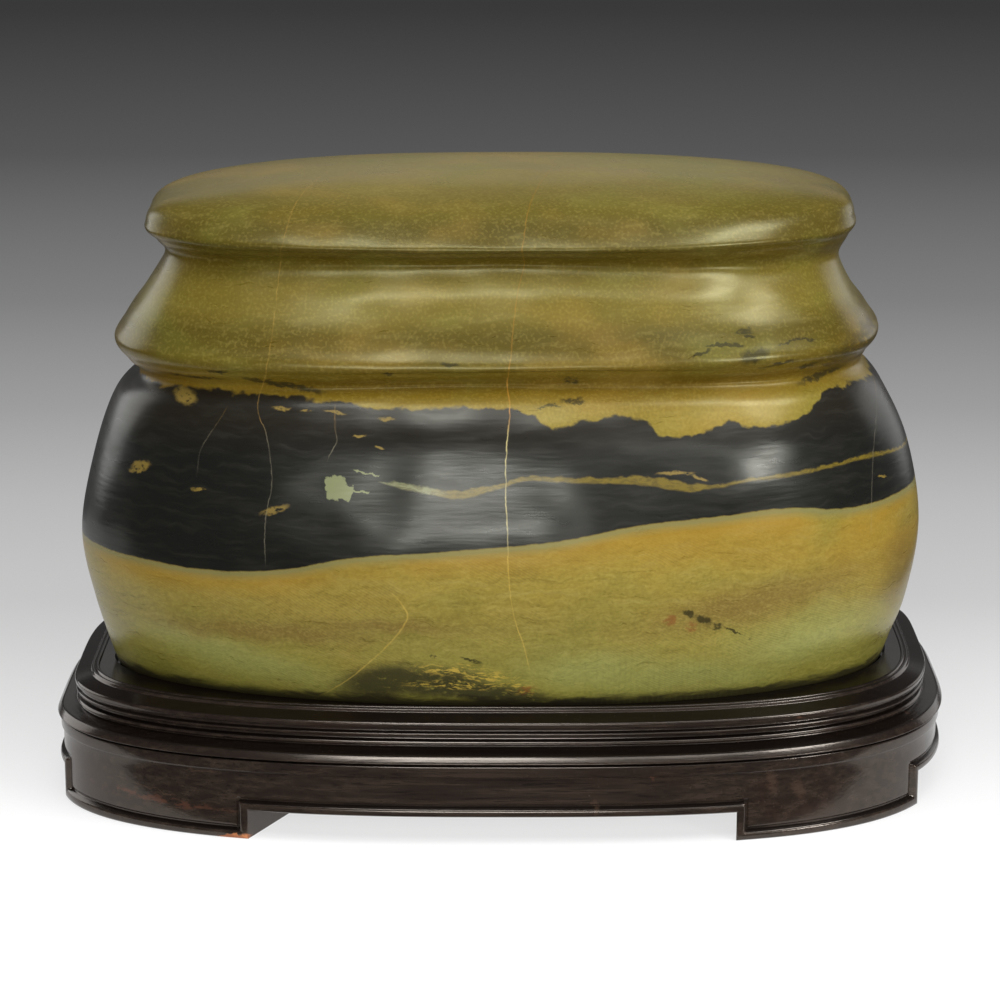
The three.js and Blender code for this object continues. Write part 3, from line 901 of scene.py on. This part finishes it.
def veins(s, n):
    """The plain veins and the faint ones."""
    plain = [vein(s, n, *VEIN_MIDDLE), vein(s, n, *VEIN_LOW)]
    left = s.most(vein(s, n, *VEIN_LEFT), vein(s, n, *VEIN_SHORT))
    thin = s.most(vein(s, n, *VEIN_FAR_LEFT), vein(s, n, *VEIN_RIGHT))
    tone = s.mix(s.rise(s.z, *GROOVE_VEIN_Z), "pale vein", "groove vein")
    tone = s.mix(s.rise(s.z, *CAP_VEIN_Z), tone, "cap vein")
    tone = s.mix(s.rise(s.z, *LOW_VEIN_Z), tone, "low vein")
    broken = s.rise(n.fine, -0.5, 0.5)
    share = s.mul(s.most(*plain), s.times_plus(broken, 0.35, 0.35))
    share = s.mul(share, s.times_plus(s.most(n.lower, s.rise(s.z, *CAP_VEIN_Z)), -0.4, 1.0))
    s.colour = s.mix(share, s.colour, tone)
    faint = s.mul(s.most(left, s.mul(thin, 0.6)), s.times_plus(broken, 0.22, 0.1))
    faint_tone = s.mix(s.rise(s.z, *FAINT_VEIN_Z), "faint grey vein", "faint vein")
    s.colour = s.mix(faint, s.colour, faint_tone)


def foot_darkening(s, n):
    """Darkening along the seat, whose mask it returns, and fine upright ripples at the right."""
    # The colour darkens towards the seat, with a ragged upper edge.
    seat_dark = s.rise(s.times_plus(n.brushed, -12.0, s.z), *SEAT_DARK_Z)
    s.paint(seat_dark, 0.9, "seat_dark")
    reach = s.mul(s.mul(s.rise(s.z, *RIPPLE_Z), s.rise(s.x, *RIPPLE_LEFT_X)), s.rise(s.x, *RIPPLE_RIGHT_X))
    ripple = s.mul(s.math("SINE", s.times_plus(n.fine, 0.6, s.mul(s.x, 2.2))), reach)
    s.colour = s.mix(s.math("MULTIPLY", ripple, 0.14, clamp=True), s.colour, "ripple")
    return seat_dark


def stone_material():
    s = Shader("polished_banded_stone", STONE_TINTS)
    n = StoneNoise(s)
    stone_ground(s, n)
    foot = s.times_plus(n.fine, 0.4, s.curve(s.x, *STONE_X, BLACK_FOOT, *STONE_Z))
    over_foot = s.sub(s.z, foot)
    low_band(s, n, over_foot)
    black, flecks = black_band(s, n, over_foot)
    dark_marks(s, n)
    veins(s, n)
    seat_dark = foot_darkening(s, n)
    pointiness = s.geometry()["Pointiness"]
    groove = s.rise(pointiness, *GROOVE_POINTINESS)
    s.set("Base Color", s.colour)
    rough = s.times_plus(n.brushed, 0.16, 0.22)
    s.set("Roughness", s.add(rough, s.mul(s.most(seat_dark, s.mul(flecks, 0.5)), 0.2)))
    s.set("Specular IOR Level", s.times_plus(groove, -0.32, 0.4))
    s.set("Specular Tint", s.mix(black, STONE_SHEEN, BLACK_SHEEN))
    polish = s.noise(s.stretched((22, 22, 2.4)), 1.0, 1.0, 0.6)
    s.set("Normal", s.relief(polish, STONE_RELIEF, s.times_plus(black, 0.25, 0.25)))
    return s.material


# Worn places of the stand, listed like the stone's spots.
BARE_WOOD = [
    (-133.5, 0.6, 6.4, 1.9, 0), (-139, 0, 4, 1.2, 0),
]
RED_WEAR = [
    (-181, 15.5, 17, 2.4, 0), (-160, 14.5, 22, 1.6, 0), (-192, 17, 14, 1.4, 0),
]
SCUFFS = [
    (-152, 33.6, 8, 0.45, 0), (-178, 21, 18, 0.35, -10), (148, 24, 3, 5, 20), (134, 30, 2.4, 6, 10),
    (46, 20, 1.5, 4, 0),
]
STAND_TINTS = {
    "dark wood": (28, 21, 17), "wood": (44, 35, 29), "red wood": (38, 21, 14), "pore": (8, 5, 4),
    "painted top shade": (9, 6, 5), "rubbed edge": (80, 50, 36), "red wear": (84, 46, 30),
    "scuff": (110, 84, 66), "bare wood": (170, 106, 60), "bare grain": (126, 70, 38),
    "dust": (90, 78, 68),
}
# Distance from the middle within which level surfaces are duller.
DULL_TOP_X = (205.0, 185.0)
EDGE_POINTINESS = (0.53, 0.6)
STAND_RELIEF = 0.08 * MM


def stand_material():
    s = Shader("dark_lacquered_wood", STAND_TINTS)
    ragged = s.shaken(0.25, 2.6, detail=2.0)
    grain = s.noise(s.stretched((80, 3.0, 3.0)), 1.0, 3.0, 0.65)
    pores = s.noise(s.stretched((16, 0.7, 0.7)), 1.0, 1.0, 0.6)
    cloud = s.noise(s.place, 0.018, 3.0, 0.6)
    s.colour = s.mix(s.rise(grain, 0.38, 0.7), "dark wood", "wood")
    s.paint(s.rise(cloud, 0.5, 0.75), 0.5, "red wood")
    s.paint(s.rise(pores, 0.56, 0.7), 0.6, "pore")
    surface = s.geometry()
    upward = s.split(surface["Normal"])[2]
    dull_top = s.mul(s.rise(upward, 0.8, 0.97), s.rise(s.math("ABSOLUTE", s.x), *DULL_TOP_X))
    # Painted shade: surfaces that face upwards are darkened in the colour.
    s.paint(s.rise(upward, 0.35, 0.85), 0.9, "painted top shade")
    rubbed = s.mul(s.rise(surface["Pointiness"], *EDGE_POINTINESS), s.rise(cloud, 0.42, 0.6))
    s.paint(rubbed, 0.5, "rubbed edge")
    worn = s.mul(s.spots(ragged, RED_WEAR, 0.7), s.rise(grain, 0.4, 0.65))
    s.paint(worn, 0.4, "red wear")
    s.paint(s.spots(ragged, SCUFFS, 0.7), 0.1, "scuff")
    bare = s.spots(ragged, BARE_WOOD, 0.3)
    s.colour = s.mix(bare, s.colour, s.mix(s.rise(grain, 0.35, 0.65), "bare wood", "bare grain"))
    dust = s.mul(s.rise(s.noise(s.place, 0.9, 2.0, 0.7), 0.6, 0.75), 0.1)
    s.colour = s.mix(dust, s.colour, "dust")
    s.set("Base Color", s.colour)
    gloss = s.times_plus(cloud, 0.12, 0.13)
    s.set("Roughness", s.add(s.times_plus(dust, 0.8, gloss), s.mul(bare, 0.35)))
    s.set("Specular IOR Level", s.times_plus(dull_top, -0.5, 0.6))
    s.set("Specular Tint", (1.0, 0.9, 0.8, 1.0))
    s.set("Normal", s.relief(s.noise(s.stretched((40, 1.2, 1.2)), 1.0, 1.0, 0.5), STAND_RELIEF, 0.4))
    return s.material


# The sweep glows by itself, which keeps the shadow under the stand as pale as in the photograph.
FLOOR_GLOW = 3.0
# Grey of the sweep's colour and glow at distances from its palest place, which is drawn out along x: a
# painted pool of light that fades away from the stand.
FLOOR_GREYS_AND_GLOW = [
    (0.0, 137), (0.09, 133), (0.3, 118), (0.5, 101.5), (0.73, 94), (1.0, 79.5), (1.4, 63.5), (2.2, 42),
    (3.55, 26), (5.0, 20),
]
FLOOR_PALEST_Y = -0.2
FLOOR_STRETCH = 0.3


def floor_material():
    s = Shader("pale_sweep", {})
    middle = s.vector("MULTIPLY_ADD", s.place, (FLOOR_STRETCH * MM, MM, 0.0), (0.0, -FLOOR_PALEST_Y, 0.0))
    away = s.add(s.vector("LENGTH", middle), s.swing(s.place, 0.01, scale=0.5, detail=1.0))
    # Painted light: the sweep's colour and glow fade outwards from its palest place.
    stops = [(at, grey, grey, grey) for at, grey in FLOOR_GREYS_AND_GLOW]
    s.colour = s.ramp(away, FLOOR_GREYS_AND_GLOW[0][0], FLOOR_GREYS_AND_GLOW[-1][0], stops)
    s.set("Base Color", s.colour)
    s.set("Emission Color", s.colour)
    s.set("Emission Strength", FLOOR_GLOW)
    s.set("Roughness", 0.65)
    s.material.cycles.emission_sampling = "NONE"
    return s.material


# Only the part of the sweep beside the stand is mirrored in the gloss.
SWEEP = (-9.0, 9.0)
MIRRORED_X = (-0.8, 0.38)
MIRRORED_Y = (-0.118, 0.5)
# Lamps: name, place, height on the axis that they aim at, width and height, watts, seen in the gloss.
LAMPS = [
    ("overhead_fill", (0.0, -0.35, 1.9), 0.1, (2.0, 1.5), 31.0, False),
    ("front_glow", (0.3, -2.5, 1.2), 0.2, (2.4, 1.0), 20.5, False),
    ("high_front", (-0.17, -1.25, 1.64), 0.2, (0.65, 0.36), 10.0, True),
    ("low_left", (-0.06, -2.3, 0.2), 0.2, (0.85, 0.4), 16.0, True),
    ("mid_front", (1.05, -2.0, 1.08), 0.2, (1.0, 0.4), 3.5, True),
    ("low_right", (1.6, -1.6, 0.55), 0.2, (0.47, 0.39), 19.0, True),
    ("high_middle", (0.61, -1.06, 1.66), 0.2, (0.9, 0.36), 3.3, True),
    ("high_right", (1.05, -0.6, 1.45), 0.2, (0.65, 0.4), 13.0, True),
    ("rim_left", (-1.6, 0.8, 0.7), 0.2, (1.4, 1.4), 11.0, True),
    ("rim_right", (1.4, 1.15, 0.42), 0.2, (1.1, 0.9), 2.6, True),
    ("back_glow", (0.0, 2.6, 1.0), 0.3, (3.0, 0.8), 1.4, True),
]


def softbox(name, place, aim_height, size, watts, in_gloss):
    light = bpy.data.lights.new(name, "AREA")
    light.shape = "ELLIPSE"
    light.size, light.size_y = size
    light.energy = watts
    lamp = bpy.data.objects.new(name, light)
    lamp.location = place
    aim = Vector((0.0, 0.0, aim_height)) - Vector(place)
    lamp.rotation_euler = aim.to_track_quat("-Z", "Y").to_euler()
    lamp.visible_glossy = in_gloss
    bpy.context.scene.collection.objects.link(lamp)


def rectangle(across, along):
    """Corners of a level rectangle on the floor."""
    return [(across[i], along[j], 0.0) for i, j in ((0, 0), (1, 0), (1, 1), (0, 1))]


def sweep_piece(name, corners, material, hole=None):
    """A flat piece of the sweep, with a hole if its corners are given."""
    faces = [(0, 1, 2, 3)]
    if hole:
        faces = [(i, (i + 1) % 4, (i + 1) % 4 + 4, i + 4) for i in range(4)]
    mesh = bpy.data.meshes.new(name)
    mesh.from_pydata(corners + (hole or []), [], faces)
    mesh.materials.append(material)
    piece = bpy.data.objects.new(name, mesh)
    bpy.context.scene.collection.objects.link(piece)
    return piece


def make_stage():
    sweep = floor_material()
    mirrored = rectangle(MIRRORED_X, MIRRORED_Y)
    sweep_piece("floor", rectangle(SWEEP, SWEEP), sweep, mirrored).visible_glossy = False
    sweep_piece("floor_mirrored", mirrored, sweep)
    world = bpy.data.worlds.new("studio")
    bpy.context.scene.world = world
    world.use_nodes = True
    background = world.node_tree.nodes["Background"]
    background.inputs["Color"].default_value = (0.64, 0.64, 0.64, 1.0)
    background.inputs["Strength"].default_value = 0.12
    for lamp in LAMPS:
        softbox(*lamp)


def make_camera():
    """The photograph's viewing angle."""
    camera = bpy.data.cameras.new("photo_camera")
    camera.sensor_width = 36.0
    camera.lens = 115.2
    camera.dof.use_dof = False
    camera.clip_end = 100.0
    holder = bpy.data.objects.new("photo_camera", camera)
    holder.location = (-0.00165, -1.6082, 0.5918)
    holder.rotation_euler = (math.radians(74.5), 0.0, 0.0)
    bpy.context.scene.collection.objects.link(holder)
    bpy.context.scene.camera = holder


def dress(piece, node, material):
    piece.data.materials.append(material)
    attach(piece, "root")
    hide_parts(node)


dress(make_stone(), "stone", stone_material())
dress(make_stand(), "stand", stand_material())
make_stage()
make_camera()
bpy.context.scene.view_settings.view_transform = "Standard"
